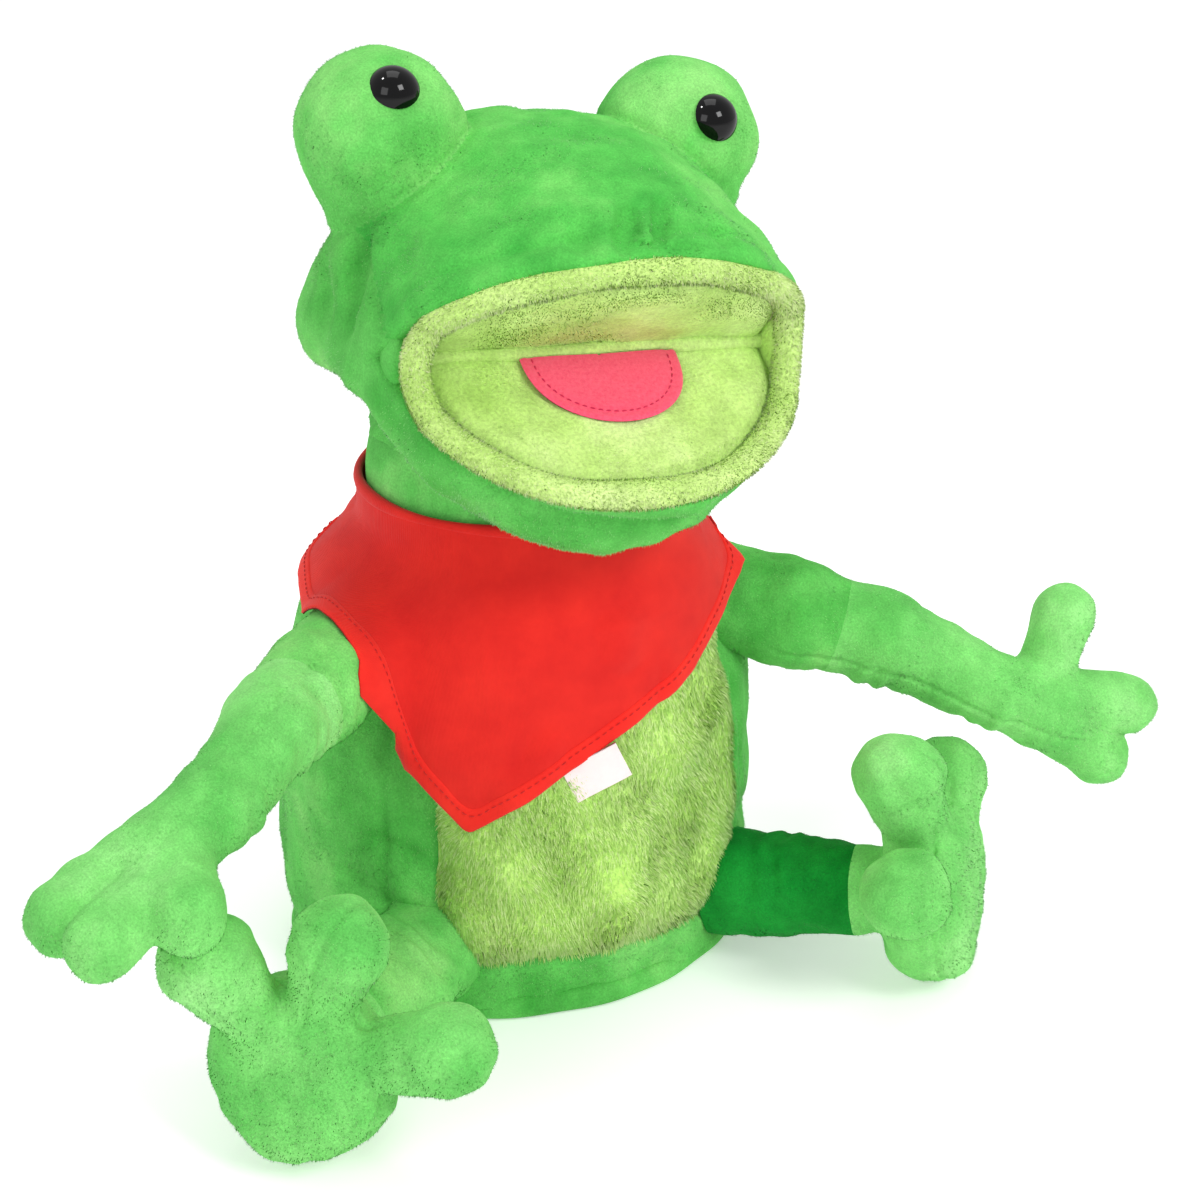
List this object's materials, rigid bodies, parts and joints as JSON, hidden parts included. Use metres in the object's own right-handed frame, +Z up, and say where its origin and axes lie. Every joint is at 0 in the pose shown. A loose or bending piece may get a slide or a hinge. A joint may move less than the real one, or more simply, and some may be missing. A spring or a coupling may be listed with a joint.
{
  "type": "hand puppet",
  "caption": "Seated plush frog hand puppet with a folding mouth worked by a hand, stuffed jointed limbs, raised eyes and a triangular neckerchief.",
  "frame": {"origin": "middle of the open bottom hem, on the level that the puppet sits on", "axes": "+Z up; the frog faces -Y, so its right hand is towards -X"},
  "size_m": [0.392, 0.2227, 0.3103],
  "materials": {
    "green_plush": "short-pile plush",
    "deep_green_plush": "short-pile plush",
    "pile_plush": "longer-pile plush",
    "mouth_plush": "longer-pile plush",
    "lining": "brushed woven lining",
    "red_cotton": "plain-weave cotton",
    "tag_tape": "woven satin tape",
    "mouth_board": "flexible plastic sheet",
    "fibrefill": "loose polyester fibre",
    "tongue_felt": "wool felt",
    "eye_black": "polished",
    "washer_white": "moulded"
  },
  "bodies": {
    "torso": {"body_front_panel": "green_plush", "body_back_panel": "green_plush", "belly_patch": "pile_plush", "sleeve_lining": "lining", "bottom_hem": "deep_green_plush", "bandana": "red_cotton", "bandana_tag": "tag_tape", "bandana_knot": "red_cotton"},
    "neck": {"neck_sleeve": "green_plush"},
    "head": {"crown_cover": "deep_green_plush", "head_back_panel": "deep_green_plush", "crown_stuffing": "fibrefill", "finger_pocket": "lining", "upper_mouth_board": "mouth_board", "upper_palate_lining": "mouth_plush", "upper_lip_rim": "mouth_plush", "right_eye_bump_cover": "green_plush", "right_eye_bump_stuffing": "fibrefill", "right_eye": "eye_black", "right_eye_washer": "washer_white", "left_eye_bump_cover": "green_plush", "left_eye_bump_stuffing": "fibrefill", "left_eye": "eye_black", "left_eye_washer": "washer_white"},
    "jaw": {"chin_cover": "green_plush", "jaw_stuffing": "fibrefill", "thumb_pocket": "lining", "lower_mouth_board": "mouth_board", "lower_palate_lining": "mouth_plush", "lower_lip_rim": "mouth_plush", "tongue": "tongue_felt"},
    "right_upper_arm": {"right_upper_arm_cover": "green_plush", "right_upper_arm_stuffing": "fibrefill"},
    "right_forearm": {"right_forearm_cover": "green_plush", "right_forearm_stuffing": "fibrefill"},
    "right_hand": {"right_hand_cover": "green_plush", "right_hand_stuffing": "fibrefill"},
    "left_upper_arm": {"left_upper_arm_cover": "green_plush", "left_upper_arm_stuffing": "fibrefill"},
    "left_forearm": {"left_forearm_cover": "green_plush", "left_forearm_stuffing": "fibrefill"},
    "left_hand": {"left_hand_cover": "green_plush", "left_hand_stuffing": "fibrefill"},
    "right_leg": {"right_leg_cover": "green_plush", "right_leg_stuffing": "fibrefill"},
    "right_foot": {"right_foot_cover": "green_plush", "right_foot_stuffing": "fibrefill"},
    "left_leg": {"left_leg_cover": "green_plush", "left_leg_stuffing": "fibrefill"},
    "left_foot": {"left_foot_cover": "green_plush", "left_foot_stuffing": "fibrefill"}
  },
  "joints": [
    {"name": "neck_turn", "type": "hinge", "parent": "torso", "child": "neck", "pos_m": [0, -0.012, 0.16], "axis": [0, 0, 1], "range_deg": [-40, 40]},
    {"name": "head_nod", "type": "hinge", "parent": "neck", "child": "head", "pos_m": [0, -0.012, 0.168], "axis": [1, 0, 0], "range_deg": [-14, 15]},
    {"name": "jaw", "type": "hinge", "parent": "head", "child": "jaw", "pos_m": [-0.00148, -0.07, 0.22806], "axis": [0.9962, 0, -0.0872], "range_deg": [-70, 8]},
    {"name": "right_shoulder", "type": "hinge", "parent": "torso", "child": "right_upper_arm", "pos_m": [-0.0815, -0.0415, 0.123], "axis": [-0.6892, 0.7246, 0], "range_deg": [-3, 60]},
    {"name": "right_elbow", "type": "hinge", "parent": "right_upper_arm", "child": "right_forearm", "pos_m": [-0.102, -0.061, 0.121], "axis": [0, 0, 1], "range_deg": [-15, 38]},
    {"name": "right_wrist", "type": "hinge", "parent": "right_forearm", "child": "right_hand", "pos_m": [-0.128, -0.085, 0.113], "axis": [-0.6783, 0.7348, 0], "range_deg": [-8, 35]},
    {"name": "left_shoulder", "type": "hinge", "parent": "torso", "child": "left_upper_arm", "pos_m": [0.0835, -0.036, 0.114], "axis": [-0.4657, -0.8849, 0], "range_deg": [-3, 60]},
    {"name": "left_elbow", "type": "hinge", "parent": "left_upper_arm", "child": "left_forearm", "pos_m": [0.112, -0.051, 0.105], "axis": [0, 0, -1], "range_deg": [-15, 38]},
    {"name": "left_wrist", "type": "hinge", "parent": "left_forearm", "child": "left_hand", "pos_m": [0.146, -0.07, 0.087], "axis": [-0.4878, -0.8729, 0], "range_deg": [-8, 35]},
    {"name": "right_hip", "type": "hinge", "parent": "torso", "child": "right_leg", "pos_m": [-0.0675, -0.0635, 0.027], "axis": [-0.6854, 0.7282, 0], "range_deg": [-70, 5]},
    {"name": "right_ankle", "type": "hinge", "parent": "right_leg", "child": "right_foot", "pos_m": [-0.1015, -0.0955, 0.031], "axis": [-0.6854, 0.7282, 0], "range_deg": [-22, 22]},
    {"name": "left_hip", "type": "hinge", "parent": "torso", "child": "left_leg", "pos_m": [0.0705, -0.0615, 0.027], "axis": [-0.6472, -0.7623, 0], "range_deg": [-70, 5]},
    {"name": "left_ankle", "type": "hinge", "parent": "left_leg", "child": "left_foot", "pos_m": [0.097, -0.084, 0.031], "axis": [-0.6472, -0.7623, 0], "range_deg": [-22, 22]}
  ]
}
